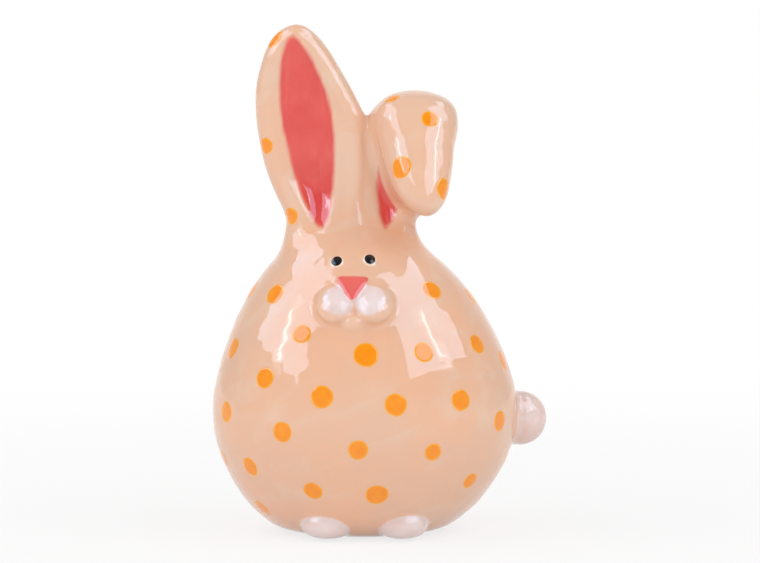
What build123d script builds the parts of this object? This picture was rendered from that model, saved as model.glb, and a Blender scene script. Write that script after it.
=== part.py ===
"""Glazed ceramic rabbit ornament: a hollow slip-cast egg body with luted ears, tail, feet and face sprigs.

Lengths are millimetres and angles are degrees. Z is up, the rabbit faces -Y and stands on Z = 0.
The origin is the middle of the base. Right and left are the rabbit's own, so its right side is -X.
"""

from build123d import *

import math
import os

# Body casting: an egg of level ellipses, cut flat below, its belly bowed left and its crown leaning right
BELLY_WIDTH = 71.6
BELLY_DEPTH = 62.5
BELLY_HEIGHT = 30.5
CROWN_HEIGHT = 74.2
BASE_CUT = 2.9
LOWER_POWER = 2.3
UPPER_POWER = 1.7
BELLY_BOW = 1.0
CROWN_LEAN = 2.4
CROWN_LEAN_POWER = 3.0
WALL = 4.0
BASE_RING_WIDTH = 4.0
BASE_RECESS = 0.8
VENT_DIAMETER = 8.0

# Ears: both are leaves of clay, rooted in the crown, with their heights counted from it
EAR_THICKNESS = 9.0
EAR_TIP_POWER = 1.65
EAR_SWELL_POWER = 1.4
EAR_BOW_POWER = 1.4
EAR_ROOT_DEPTH = 6.0
UPRIGHT_EAR_RISE = 45.8
UPRIGHT_EAR_WIDEST_RISE = 23.3
UPRIGHT_EAR_WIDTH = 25.8
UPRIGHT_EAR_ROOT_WIDTH = 16.6
UPRIGHT_EAR_ROOT_X = -9.0
UPRIGHT_EAR_TIP_X = -15.9
UPRIGHT_EAR_Y = 0.0
FOLDED_EAR_WIDEST_RISE = 17.8
FOLDED_EAR_WIDTH = 20.0
FOLDED_EAR_ROOT_WIDTH = 14.0
FOLDED_EAR_ROOT_X = 6.0
FOLDED_EAR_TIP_X = 11.5
FOLDED_EAR_Y = 1.0

# Tip of the folded ear, which turns over forwards and hangs in front of its stem
FLAP_RISE = 30.4
FLAP_DOME_HEIGHT = 6.6
FLAP_COVER = 2.1
FLAP_TIP_RISE = 1.6
FLAP_WIDTH = 18.6
FLAP_TOP_X = 12.6
FLAP_TIP_X = 15.9
FLAP_TIP_LEAN = 9.5
FLAP_THICKNESS = 14.0
FLAP_FOLD_DEPTH = 15.2
FLAP_FOLD_POWER = 2.6
FLAP_TIP_POWER = 2.1
FLAP_BACK_RUN = 7.0

# Pink glaze fields, which lie in the hollow of each ear
LINING_THICKNESS = 0.4
LINING_HOLLOW = 0.9
LINING_RIM = 0.8
UPRIGHT_LINING_SINK = 1.4
UPRIGHT_LINING_RISE = 43.0
UPRIGHT_LINING_WIDTH = 12.8
UPRIGHT_LINING_LOW_X = -8.8
UPRIGHT_LINING_HIGH_X = -16.4
FOLDED_LINING_SINK = 1.2
FOLDED_LINING_RISE = 23.8
FOLDED_LINING_WIDTH = 10.4
FOLDED_LINING_LOW_X = 6.2
FOLDED_LINING_HIGH_X = 10.2

# Keyed roots: pegs that seat the ears and the tail in sockets of the body's wall
PEG_DEPTH = 2.4
PEG_CLEARANCE = 0.1
EAR_PEG_WIDTH = 8.0
EAR_PEG_THICKNESS = 4.4
TAIL_PEG_DIAMETER = 6.0

# Tail ball, on the left flank a little behind the middle and below the belly's widest place
TAIL_DIAMETER = 12.9
TAIL_DROP = 3.9
TAIL_ANGLE = 98.0
TAIL_LIFT = 1.6

# Feet: ellipsoids that stand on the ground, tucked into the front of the belly
FOOT_WIDTH = 12.4
FOOT_LENGTH = 12.4
FOOT_HEIGHT = 8.2
FOOT_SINK = 0.2
FOOT_SPREAD = 17.4
FOOT_MIDDLE_X = 0.8
FOOT_SETBACK = 14.35

# Face sprigs: cheek pads, chin, nose and eye beads, each at its own distance below the crown
CHEEK_WIDTH = 9.2
CHEEK_HEIGHT = 11.0
CHEEK_DEPTH = 6.2
CHEEK_TILT = 22.0
CHEEK_SPREAD = 8.8
CHEEK_MIDDLE_X = -1.45
CHEEK_DROP = 18.4
CHIN_WIDTH = 5.6
CHIN_HEIGHT = 4.2
CHIN_DEPTH = 4.8
CHIN_X = -1.8
CHIN_DROP = 22.7
NOSE_WIDTH = 6.8
NOSE_HEIGHT = 6.2
NOSE_CORNER = 1.4
NOSE_LIFT = 2.0
NOSE_TILT = 14.0
NOSE_EDGE = 0.6
NOSE_X = -2.0
NOSE_DROP = 15.15
EYE_WIDTH = 2.5
EYE_HEIGHT = 2.9
EYE_DEPTH = 1.2
EYE_SPREAD = 7.66
EYE_MIDDLE_X = -1.83
EYE_DROP = 8.6
RIGHT_EYE_DROP = 9.05

# How finely the lofts are cut into sections, how these crowd towards the base, and where the last one stands
LOWER_SECTIONS = 7
UPPER_SECTIONS = 11
LEAF_SECTIONS = 7
SECTION_CROWDING = 1.5
END_SHARE = 0.985

# Step for the slope of the egg's face, and the height within which a place on it is found
SLOPE_STEP = 0.1
HEIGHT_TOLERANCE = 0.01


def superellipse(share, power):
    """The half width as a share of the widest, this share of the way from the widest place to the end."""
    return (1 - share**power) ** (1 / power)


def between(low, high, share):
    """The value at this share of the way from low to high."""
    return low + (high - low) * share


def section(height, x, y, half_width, half_depth):
    """A level ellipse."""
    return Plane((x, y, height)) * Ellipse(half_width, half_depth)


def ellipsoid(width, depth, height):
    """An ellipsoid about the origin."""
    return scale(Sphere(1), by=(width / 2, depth / 2, height / 2))


def egg_lean(height):
    """Where the egg's axis stands at this height, across the rabbit."""
    rise = height / CROWN_HEIGHT
    return BELLY_BOW * math.sin(math.pi * rise) - CROWN_LEAN * rise**CROWN_LEAN_POWER


def egg_taper(height, inset):
    """The egg's girth at this height as a share of its belly's, for a skin this far inside the outer one."""
    if height < BELLY_HEIGHT:
        return superellipse((BELLY_HEIGHT - height) / (BELLY_HEIGHT + BASE_CUT - inset), LOWER_POWER)
    return superellipse((height - BELLY_HEIGHT) / (CROWN_HEIGHT - inset - BELLY_HEIGHT), UPPER_POWER)


def egg_section(height, inset):
    """The egg's level section at this height."""
    taper = egg_taper(height, inset)
    half_width = (BELLY_WIDTH / 2 - inset) * taper
    half_depth = (BELLY_DEPTH / 2 - inset) * taper
    return section(height, egg_lean(height), 0, half_width, half_depth)


def egg(floor, inset):
    """The egg, or its cavity, from a flat floor up to its crown."""
    reach = (CROWN_HEIGHT - inset - BELLY_HEIGHT) * END_SHARE
    shares = [(i / LOWER_SECTIONS) ** SECTION_CROWDING for i in range(LOWER_SECTIONS)]
    turns = [math.pi / 2 * i / UPPER_SECTIONS for i in range(UPPER_SECTIONS + 1)]
    lower = [between(floor, BELLY_HEIGHT, share) for share in shares]
    upper = [BELLY_HEIGHT + reach * math.sin(turn) for turn in turns]
    return loft([egg_section(height, inset) for height in lower + upper])


def egg_point(angle, height):
    """The point on the egg's outer face at this angle from its front, turning towards its left."""
    turn = math.radians(angle)
    taper = egg_taper(height, 0)
    x = egg_lean(height) + BELLY_WIDTH / 2 * taper * math.sin(turn)
    return Vector(x, -BELLY_DEPTH / 2 * taper * math.cos(turn), height)


def egg_plane(angle, height):
    """A plane on the egg's outer face, with its own Z outwards and its own Y up the face."""
    across = egg_point(angle + SLOPE_STEP, height) - egg_point(angle - SLOPE_STEP, height)
    upwards = egg_point(angle, height + SLOPE_STEP) - egg_point(angle, height - SLOPE_STEP)
    return Plane(origin=egg_point(angle, height), x_dir=across, z_dir=across.cross(upwards))


def face_plane(x, height):
    """The egg's plane in front, at this distance across the face."""
    across = (x - egg_lean(height)) / (BELLY_WIDTH / 2 * egg_taper(height, 0))
    return egg_plane(math.degrees(math.asin(across)), height)


def crown_height(x):
    """The height of the egg's outer face above this place on its middle line."""
    low, high = BELLY_HEIGHT, CROWN_HEIGHT
    while high - low > HEIGHT_TOLERANCE:
        middle = (low + high) / 2
        inside = abs(x - egg_lean(middle)) < BELLY_WIDTH / 2 * egg_taper(middle, 0)
        low, high = (middle, high) if inside else (low, middle)
    return low


def leaf_taper(height, widest, high):
    """An ear's girth at this height as a share of its widest."""
    share = max(0.0, (height - widest) / (high - widest))
    return superellipse(END_SHARE * share, EAR_TIP_POWER)


def leaf(low, widest, high, x_low, x_high, y, root_width, width):
    """An ear of clay: narrow at its root, widest part way up, and drawn in to a rounded tip."""
    swell = [i / LEAF_SECTIONS for i in range(LEAF_SECTIONS)]
    narrowing = [math.sin(math.pi / 2 * i / LEAF_SECTIONS) for i in range(LEAF_SECTIONS + 1)]
    heights = [between(low, widest, share) for share in swell]
    widths = [between(root_width, width, 1 - (1 - share) ** EAR_SWELL_POWER) for share in swell]
    heights += [between(widest, high, share) for share in narrowing]
    widths += [width * leaf_taper(between(widest, high, share), widest, high) for share in narrowing]
    sections = []
    for height, across in zip(heights, widths):
        x = between(x_low, x_high, ((height - low) / (high - low)) ** EAR_BOW_POWER)
        half_depth = EAR_THICKNESS / 2 * leaf_taper(height, widest, high)
        sections.append(section(height, x, y, across / 2, half_depth))
    return loft(sections)


def lens(low, high, x_low, x_high, width, ear_widest, ear_high, ear_y):
    """A leaf drawn in at both ends, which hollows an ear's front."""
    sections = []
    for i in range(-LEAF_SECTIONS, LEAF_SECTIONS + 1):
        share = END_SHARE * math.sin(math.pi / 2 * i / LEAF_SECTIONS)
        taper = superellipse(abs(share), EAR_TIP_POWER)
        rise = (1 + share) / 2
        height = between(low, high, rise)
        ear_front = ear_y - EAR_THICKNESS / 2 * leaf_taper(height, ear_widest, ear_high)
        x = between(x_low, x_high, rise)
        y = ear_front + LINING_RIM * taper**2
        sections.append(section(height, x, y, width / 2 * taper, LINING_HOLLOW * taper))
    return loft(sections)


def lined(ear, bowl):
    """The ear with its front hollowed, and the glaze field that lies in the hollow."""
    seat = Pos(0, LINING_THICKNESS, 0) * bowl
    return ear - bowl - seat, (ear & seat) - bowl


def ear_peg(x, y, clearance):
    """The peg below an ear's root, or its socket where there is a clearance."""
    floor = crown_height(x) - PEG_DEPTH - clearance
    outline = Ellipse(EAR_PEG_WIDTH / 2 + clearance, EAR_PEG_THICKNESS / 2 + clearance)
    return extrude(Plane((x, y, floor)) * outline, CROWN_HEIGHT - floor)


def tail_plane():
    """The plane on the flank where the tail is joined."""
    return egg_plane(TAIL_ANGLE, BELLY_HEIGHT - TAIL_DROP)


def tail_peg(clearance):
    """The peg behind the tail, or its socket where there is a clearance."""
    depth = PEG_DEPTH + clearance
    outline = Circle(TAIL_PEG_DIAMETER / 2 + clearance)
    return tail_plane() * extrude(Pos(0, 0, -depth) * outline, depth + TAIL_LIFT)


def upright_leaf():
    """The right ear, which stands up."""
    return leaf(
        CROWN_HEIGHT - EAR_ROOT_DEPTH,
        CROWN_HEIGHT + UPRIGHT_EAR_WIDEST_RISE,
        CROWN_HEIGHT + UPRIGHT_EAR_RISE,
        UPRIGHT_EAR_ROOT_X,
        UPRIGHT_EAR_TIP_X,
        UPRIGHT_EAR_Y,
        UPRIGHT_EAR_ROOT_WIDTH,
        UPRIGHT_EAR_WIDTH,
    )


def folded_leaf():
    """The left ear's stem, up to its fold."""
    return leaf(
        CROWN_HEIGHT - EAR_ROOT_DEPTH,
        CROWN_HEIGHT + FOLDED_EAR_WIDEST_RISE,
        CROWN_HEIGHT + FLAP_RISE - FLAP_COVER,
        FOLDED_EAR_ROOT_X,
        FOLDED_EAR_TIP_X,
        FOLDED_EAR_Y,
        FOLDED_EAR_ROOT_WIDTH,
        FOLDED_EAR_WIDTH,
    )


def upright_bowl():
    """The hollow in the right ear."""
    return lens(
        CROWN_HEIGHT - UPRIGHT_LINING_SINK,
        CROWN_HEIGHT + UPRIGHT_LINING_RISE,
        UPRIGHT_LINING_LOW_X,
        UPRIGHT_LINING_HIGH_X,
        UPRIGHT_LINING_WIDTH,
        CROWN_HEIGHT + UPRIGHT_EAR_WIDEST_RISE,
        CROWN_HEIGHT + UPRIGHT_EAR_RISE,
        UPRIGHT_EAR_Y,
    )


def folded_bowl():
    """The hollow in the left ear, which runs up behind its flap."""
    return lens(
        CROWN_HEIGHT - FOLDED_LINING_SINK,
        CROWN_HEIGHT + FOLDED_LINING_RISE,
        FOLDED_LINING_LOW_X,
        FOLDED_LINING_HIGH_X,
        FOLDED_LINING_WIDTH,
        CROWN_HEIGHT + FOLDED_EAR_WIDEST_RISE,
        CROWN_HEIGHT + FLAP_RISE - FLAP_COVER,
        FOLDED_EAR_Y,
    )


def flap():
    """The left ear's tip: a dome over the fold, thinning below it to a pad that leans out from the stem."""
    front = FOLDED_EAR_Y + EAR_THICKNESS / 2 - FLAP_FOLD_DEPTH
    top = CROWN_HEIGHT + FLAP_RISE
    fold = top - FLAP_DOME_HEIGHT
    tip = CROWN_HEIGHT + FLAP_TIP_RISE
    sections = []
    for i in range(-LEAF_SECTIONS, LEAF_SECTIONS + 1):
        share = END_SHARE * math.sin(math.pi / 2 * abs(i) / LEAF_SECTIONS)
        if i < 0:
            height = between(fold, tip, share)
            taper = superellipse(share, FLAP_TIP_POWER)
        else:
            height = between(fold, top, share)
            taper = superellipse(share, FLAP_FOLD_POWER)
        thinning = min(1.0, max(0.0, (fold - height) / FLAP_BACK_RUN))
        depth = between(FLAP_FOLD_DEPTH, FLAP_THICKNESS, thinning)
        drop = (top - height) / (top - tip)
        x = between(FLAP_TOP_X, FLAP_TIP_X, drop**2)
        y = front + depth / 2 - FLAP_TIP_LEAN * drop
        sections.append(section(height, x, y, FLAP_WIDTH / 2 * taper, depth / 2 * taper))
    return loft(sections)


def tail_ball():
    """The tail, which stands a little out from the flank."""
    return tail_plane() * Pos(0, 0, TAIL_LIFT) * Sphere(TAIL_DIAMETER / 2)


def foot(side):
    """One foot, cut flat where it sinks below the ground. Side is -1 for the right and 1 for the left."""
    ball = Pos(0, 0, FOOT_HEIGHT / 2 - FOOT_SINK) * ellipsoid(FOOT_WIDTH, FOOT_LENGTH, FOOT_HEIGHT)
    ground = Pos(0, 0, -FOOT_HEIGHT / 2) * Box(FOOT_WIDTH, FOOT_LENGTH, FOOT_HEIGHT)
    return Pos(FOOT_MIDDLE_X + side * FOOT_SPREAD / 2, FOOT_SETBACK - BELLY_DEPTH / 2, 0) * (ball - ground)


def cheek(side):
    """One cheek pad, centred on the face, with its top leaning back into it."""
    place = face_plane(CHEEK_MIDDLE_X + side * CHEEK_SPREAD / 2, CROWN_HEIGHT - CHEEK_DROP).origin
    muzzle = face_plane(CHEEK_MIDDLE_X, CROWN_HEIGHT - CHEEK_DROP)
    pad = ellipsoid(CHEEK_WIDTH, CHEEK_HEIGHT, CHEEK_DEPTH)
    return Plane(origin=place, x_dir=muzzle.x_dir, z_dir=muzzle.z_dir) * Rot(-CHEEK_TILT, 0, 0) * pad


def chin():
    """The lower lip, under and between the cheeks."""
    return face_plane(CHIN_X, CROWN_HEIGHT - CHIN_DROP) * ellipsoid(CHIN_WIDTH, CHIN_HEIGHT, CHIN_DEPTH)


def nose():
    """The nose: a three-cornered pad with its point down and its top leaning back into the face."""
    half_width = NOSE_WIDTH / 2 - NOSE_CORNER
    half_height = NOSE_HEIGHT / 2 - NOSE_CORNER
    corners = [(-half_width, half_height), (half_width, half_height), (0, -half_height)]
    outline = offset(make_face(Polyline(*corners, close=True)), NOSE_CORNER)
    pad = Pos(0, 0, -NOSE_LIFT) * extrude(outline, 2 * NOSE_LIFT)
    pad = fillet(pad.faces().sort_by(Axis.Z)[-1].edges(), NOSE_EDGE)
    return face_plane(NOSE_X, CROWN_HEIGHT - NOSE_DROP) * Rot(-NOSE_TILT, 0, 0) * pad


def eye(side, drop):
    """One eye: a bead, half sunk into the face."""
    place = face_plane(EYE_MIDDLE_X + side * EYE_SPREAD / 2, CROWN_HEIGHT - drop)
    return place * ellipsoid(EYE_WIDTH, EYE_HEIGHT, EYE_DEPTH)


def body_shell(outer):
    """The hollow casting, with its base ring, vent and sockets."""
    ring = egg_taper(0, 0)
    recess = Ellipse(BELLY_WIDTH / 2 * ring - BASE_RING_WIDTH, BELLY_DEPTH / 2 * ring - BASE_RING_WIDTH)
    shell = outer - egg(WALL, WALL)
    shell -= extrude(recess, BASE_RECESS)
    shell -= extrude(Circle(VENT_DIAMETER / 2), 2 * WALL)
    shell -= ear_peg(UPRIGHT_EAR_ROOT_X, UPRIGHT_EAR_Y, PEG_CLEARANCE)
    shell -= ear_peg(FOLDED_EAR_ROOT_X, FOLDED_EAR_Y, PEG_CLEARANCE)
    shell -= tail_peg(PEG_CLEARANCE)
    return shell


def main():
    outer = egg(0, 0)
    pieces = {"body_shell": body_shell(outer)}

    upright, upright_lining = lined(upright_leaf(), upright_bowl())
    upright_peg = ear_peg(UPRIGHT_EAR_ROOT_X, UPRIGHT_EAR_Y, 0) & outer
    pieces["upright_ear"] = upright - outer + upright_peg
    pieces["upright_ear_lining"] = upright_lining - outer

    folded, folded_lining = lined(folded_leaf(), folded_bowl())
    folded_peg = ear_peg(FOLDED_EAR_ROOT_X, FOLDED_EAR_Y, 0) & outer
    stem = folded - outer - upright_leaf()
    pieces["folded_ear_stem"] = stem + folded_peg
    pieces["folded_ear_lining"] = folded_lining - outer - upright_leaf()
    pieces["folded_ear_flap"] = flap() - folded_leaf() - upright_leaf()

    pieces["tail"] = tail_ball() - outer + (tail_peg(0) & outer)
    pieces["right_foot"] = foot(-1) - outer
    pieces["left_foot"] = foot(1) - outer

    right_cheek = cheek(-1)
    left_cheek = cheek(1)
    cheeks = right_cheek + left_cheek
    pieces["right_cheek"] = right_cheek - outer
    pieces["left_cheek"] = left_cheek - right_cheek - outer
    pieces["chin"] = chin() - outer - cheeks
    pieces["nose"] = nose() - outer - cheeks
    pieces["right_eye"] = eye(-1, RIGHT_EYE_DROP) - outer
    pieces["left_eye"] = eye(1, EYE_DROP) - outer

    os.makedirs("parts", exist_ok=True)
    for name, piece in pieces.items():
        export_step(piece, f"parts/{name}.step")


if __name__ == "__main__":
    main()
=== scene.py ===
"""Glazed ceramic rabbit: closed meshes cut from one smooth fused form, under a painted and pooled glaze.

The forms are distance fields in millimetres, with the axes and sizes of the CAD model.
The meshes that follow them are in metres.
"""

import math
from functools import partial

import bpy
import numpy as np
import openvdb
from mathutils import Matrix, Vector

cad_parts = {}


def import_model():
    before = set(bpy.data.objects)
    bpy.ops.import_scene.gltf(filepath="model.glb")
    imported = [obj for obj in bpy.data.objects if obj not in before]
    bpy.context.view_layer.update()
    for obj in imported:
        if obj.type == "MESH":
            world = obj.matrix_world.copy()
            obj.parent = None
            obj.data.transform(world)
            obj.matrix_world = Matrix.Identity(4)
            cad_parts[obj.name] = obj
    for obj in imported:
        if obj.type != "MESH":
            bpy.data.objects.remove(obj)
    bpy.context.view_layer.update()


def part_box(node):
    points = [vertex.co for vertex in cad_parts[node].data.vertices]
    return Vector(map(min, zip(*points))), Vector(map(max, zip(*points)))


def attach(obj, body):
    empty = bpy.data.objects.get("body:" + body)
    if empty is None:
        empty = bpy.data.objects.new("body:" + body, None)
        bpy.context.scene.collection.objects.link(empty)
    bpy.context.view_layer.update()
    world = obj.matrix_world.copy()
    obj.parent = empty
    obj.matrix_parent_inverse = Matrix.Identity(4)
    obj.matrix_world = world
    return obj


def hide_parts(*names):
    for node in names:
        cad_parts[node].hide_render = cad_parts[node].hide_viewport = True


MM = 0.001
# Keeps roots and divisors clear of zero
TINY = 1e-9

# Photograph's frame and the camera that took it
FRAME_WIDTH_PX = 760
FRAME_HEIGHT_PX = 563
MM_PER_PX = 0.2368
ORIGIN_PX = (361.5, 530.5)
CAMERA_ELEVATION = 5.0
CAMERA_DISTANCE = 1.0

# Egg body
BELLY_WIDTH = 71.6
BELLY_DEPTH = 62.5
BELLY_HEIGHT = 30.5
CROWN_HEIGHT = 74.2
BASE_CUT = 2.9
LOWER_POWER = 2.3
UPPER_POWER = 1.7
CROWN_LEAN = 2.4
BELLY_BOW = 1.0
WALL = 4.0
BASE_RING_WIDTH = 4.0
BASE_RECESS = 0.8
VENT_DIAMETER = 8.0

# Fit of the egg's girth: how far it turns from the middle either way, its points and its polynomial's degree
EGG_FIT_TURN = 1.45
EGG_FIT_POINTS = 200
EGG_FIT_DEGREE = 5

# Shares of the egg's height, from its middle and from its foot, past which its girth and axis stay fixed
GIRTH_END = 1.05
AXIS_END = 1.1

# Half the step, in degrees and in millimetres, over which the egg's directions are measured
FRAME_STEP = 0.1

# Ear plates: outlines seen from the front, as X and Z
EAR_HALF_THICKNESS = 4.3
EAR_ROOT_SWELL = 2.6
EAR_ROOT_HEIGHTS = (66.0, 87.0)
EAR_DISH = 1.1
EAR_RIM = 1.6
EAR_DISH_RUN = 5.0
GUTTER_DEPTH = 2.1
GUTTER_RIM = 1.0
GUTTER_RUN = 4.6
GUTTER_HEIGHTS = (80.0, 96.0)
EAR_BLUR_ROUNDS = 40
LINING_BLUR_ROUNDS = 12
OUTLINE_SPAN_POINTS = 12
FOLDED_EAR_Y = 1.0
UPRIGHT_OUTLINE = [
    (-15.9, 120.0), (-20.5, 117.4), (-23.3, 111.8), (-24.9, 104.5), (-24.8, 97.4), (-23.2, 88.2),
    (-20.5, 80.6), (-17.8, 74.4), (-16.4, 67.0), (-8.5, 64.0), (1.2, 67.0), (1.8, 78.0), (2.2, 88.0),
    (1.3, 96.5), (-0.9, 102.0), (-4.2, 108.2), (-8.2, 114.6), (-12.0, 118.7),
]
STEM_OUTLINE = [
    (-2.8, 67.0), (-2.2, 78.0), (-1.2, 88.0), (1.1, 96.5), (5.2, 100.4), (12.0, 101.2), (18.0, 98.8),
    (20.2, 93.5), (19.8, 86.0), (17.4, 79.5), (12.9, 74.0), (11.4, 67.0), (6.0, 64.0),
]
FLAP_OUTLINE = [
    (12.6, 104.0), (7.4, 102.8), (4.6, 99.8), (4.3, 95.5), (5.5, 89.0), (7.4, 83.2), (10.1, 79.0),
    (12.9, 76.5), (15.7, 75.7), (18.3, 77.3), (20.2, 80.8), (21.4, 87.5), (21.7, 95.3), (20.8, 99.8),
    (17.4, 102.6),
]
FLAP_TOP = (0.3, 104.4)
FLAP_LEAN = 0.52
FLAP_HALF_THICKNESS = 8.5
FLAP_BACK_Y = 1.5
FLAP_BACK_EDGE = 4.0
FLAP_WALL_SPREAD = 0.12
FLAP_WALL_X = (8.0, 14.0)
FLAP_WALL_HEIGHTS = (90.0, 100.0)
FOLD_MIDDLE = (12.9, -2.2, 97.4)
FOLD_RADII = (9.3, 8.0, 6.3)
FOLD_POWER = 2.5
FOLD_FILLET = 3.0

# Painted fields in the ears
UPRIGHT_LINING = [
    (-16.7, 117.6), (-19.0, 112.1), (-19.5, 105.0), (-19.1, 97.9), (-17.6, 90.8), (-15.7, 83.6),
    (-13.4, 77.7), (-11.1, 73.4), (-9.1, 72.3), (-7.5, 75.0), (-6.5, 81.3), (-6.0, 88.4), (-6.3, 95.5),
    (-7.5, 102.7), (-9.8, 108.6), (-12.9, 114.4),
]
FOLDED_LINING = [
    (4.2, 88.7), (3.7, 85.3), (3.4, 81.8), (3.7, 77.7), (4.4, 74.3), (5.6, 71.9), (7.0, 73.3), (8.3, 75.8),
    (8.9, 78.4), (7.9, 79.9), (6.4, 81.8), (5.5, 84.5), (4.8, 87.5),
]

# Tail, feet and face
TAIL_DIAMETER = 12.9
TAIL_HEIGHT = 26.3
TAIL_ANGLE = 98.0
TAIL_LIFT = 1.1
FOOT_SIZE = (12.4, 12.4, 8.2)
FOOT_SPREAD = 17.4
FOOT_MIDDLE = (0.8, -16.9, 3.9)
CHEEK_SIZE = (8.9, 11.0, 6.0)
CHEEK_TILT = 24.0
CHEEK_SPREAD = 8.8
CHEEK_MIDDLE = (-1.45, 55.8)
CHIN_SIZE = (5.6, 4.2, 4.8)
CHIN_MIDDLE = (-1.8, 51.5)
NOSE_WIDTH = 6.2
NOSE_HEIGHT = 6.2
NOSE_CORNER = 2.05
NOSE_LIFT = 1.7
NOSE_SLANT = 0.3
NOSE_DOME = (1.6, 0.8)
NOSE_MIDDLE = (-2.0, 59.35)
EYE_SIZE = (2.5, 2.9, 0.9)
EYE_SPREAD = 7.66
EYE_MIDDLE = (-1.83, 65.6)
RIGHT_EYE_DROP = 0.45

# How softly the pieces run into each other, and how far a piece reaches in under its neighbour
EAR_FILLET = 6.0
GROOVE_FILLET = 1.6
FLAP_FILLET = 3.2
TAIL_FILLET = 1.8
FOOT_FILLET = 1.0
CHEEK_FILLET = 2.2
CHIN_FILLET = 1.0
NOSE_FILLET = 0.8
PIECE_REACH = 3.5
SKIRT = 0.8
SKIRT_SINK = 0.12
LINING_DEPTH = 0.5

# Heights of the glaze's unevenness, from its longest waves to its shortest
RIPPLE_HEIGHTS = (0.07, 0.06, 0.02)

# Painted fields' reach beyond their forms
TAIL_PAINT = 1.0
TAIL_SHEERNESS = 0.25
FOOT_PAINT = 0.3
FOOT_PAINT_CRISPNESS = 2.0
CHEEK_PAINT = (3.75, 4.4)
CHEEK_PAINT_INWARDS = 0.75
CHEEK_PAINT_LIFT = 0.3
PAINT_DEPTH = 1.0

# How pale the glaze is on the flap and the muzzle, where it ran thinner, as pale as the ears at this depth
# inside their outlines, where the paleness is a painted reflection of the pale room
FLAP_THIN = 2.0
MUZZLE_THIN = 4.5

# Where that starts outside the muzzle, the width over which it comes in, and the rise of the ears' painted
# reflection above their roots
MUZZLE_THIN_EDGE = 0.5
MUZZLE_THIN_RUN = 0.8
EAR_PAINTED_REFLECTION_RISE = 4.0

# The most that the glaze pools in a crease
DEEPEST_POOL = 3.0

# Painted dots that the photograph shows: their middles in its pixels, and their diameters
PHOTO_DOTS = [
    (274, 38, 5.0), (265.5, 146, 4.0), (291, 216, 4.2), (392, 98, 3.8), (430, 119, 4.1), (401, 167, 5.5),
    (444, 189, 5.2), (252, 290, 5.0), (275, 294, 5.2), (432, 290, 5.0), (471, 296, 5.0), (302, 334, 4.7),
    (477, 344, 4.8), (233, 348, 5.2), (424, 352, 4.9), (366, 355, 5.8), (503, 360, 5.0), (265, 378, 5.2),
    (322, 397, 5.4), (461, 400, 5.2), (396, 405, 5.4), (226, 412, 5.0), (500, 421, 5.0), (282, 432, 5.0),
    (358, 450, 4.8), (433, 452, 4.3), (224, 459, 5.0), (250, 467, 4.8), (506, 459, 5.0), (470, 481, 4.2),
    (313, 491, 4.7), (377, 495, 5.4), (262, 508, 4.8),
]

# Rows of dots over the back: their heights and columns, from, to and by, and their least gap and scatter
BACK_DOT_DIAMETER = 5.1
BACK_ROWS = (9.0, 117.0, 10.5)
BACK_COLUMNS = (-41.0, 42.0, 16.5)
BACK_GAP = 9.0
BACK_SCATTER = 2.4
SCATTER_BY_ROW = np.array([2.3, 1.7])
SCATTER_BY_COLUMN = np.array([0.31, 0.23])

# Rays that find the dots' places: where they start and end, and how they step up to the form
RAY_START = 120.0
RAY_END = 200.0
RAY_STEPS = 200
RAY_TOUCH = 0.005
RAY_STRIDE = 10.0
RAY_STRIDE_SHARE = 0.8

# Meshing: the reach of a slope's measure, the rounds that move points onto the form, and the least slopes
SLOPE_REACH = 0.02
MOVE_ROUNDS = 2
LEAST_SLOPE = 0.2
LEAST_NORMAL = 1e-6

# Lamps, in metres and watts, aim at this height
FIGURE_MIDDLE = 0.055
# Soft light that the glaze doesn't mirror: azimuth, distance, height, target's height, size and power
FILL_LAMPS = {
    "front_fill": (-12, 0.9, 0.1, FIGURE_MIDDLE, (1.0, 0.6), 2.4),
    "low_fill": (24, 0.8, 0.03, 0.07, (0.5, 0.3), 0.5),
    "back_fill": (180, 0.9, 0.4, FIGURE_MIDDLE, (1.0, 0.6), 2.2),
}
# Softboxes: their azimuths and the heights of their bright middles, then what the two have in common
SOFTBOXES = {"right": (-73, 0.44), "left": (62, 0.49)}
SOFTBOX_DISTANCE = 0.65
SOFTBOX_HEIGHT = 0.75
SOFTBOX_SIZE = (1.0, 0.76)
SOFTBOX_POWER = 3.5
# Their bright middles: distance, size and power, turned a little from the softboxes' own middles
BRIGHT_MIDDLES = {"panel_glow": (0.63, (0.1, 0.34), 0.12), "panel_core": (0.62, (0.035, 0.22), 0.12)}
BRIGHT_MIDDLE_TURN = 4
# Their faces as the glaze mirrors them: azimuth, low edge, high edge and width
PANELS = {
    "panel_right": (-73, 0.32, 1.5, 0.68),
    "panel_right_wing": (-115, 0.68, 1.25, 0.33),
    "panel_left": (62, 0.35, 1.75, 0.74),
    "panel_left_wing": (117, 0.77, 1.38, 0.6),
}
PANEL_DISTANCE = 0.64
PANEL_POWER_PER_AREA = 11.2
PANEL_COLOUR = (0.5, 0.7, 0.96)

# Studio: the table and how its shading gives way to white, then the room's light
TABLE_SIZE = 30
TABLE_COLOUR = (0.86, 0.86, 0.86, 1)
TABLE_FADE_REACH = (0.08, 0.35)
TABLE_FADE_SHARE = (0.78, 1.0)
ROOM_LOW = (0.85, 0.84, 0.83, 1)
ROOM_HIGH = (0.24, 0.23, 0.23, 1)
ROOM_BEHIND = (0.5, 0.5, 0.5, 1)
FULL_WHITE = (1, 1, 1, 1)

# Round of the edge where the figure meets the table, and the height at which the glaze was wiped off
BASE_EDGE = 2.0
BARE_EDGE = 0.3


def superellipse(share, power):
    return (1 - share**power) ** (1 / power)


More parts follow.
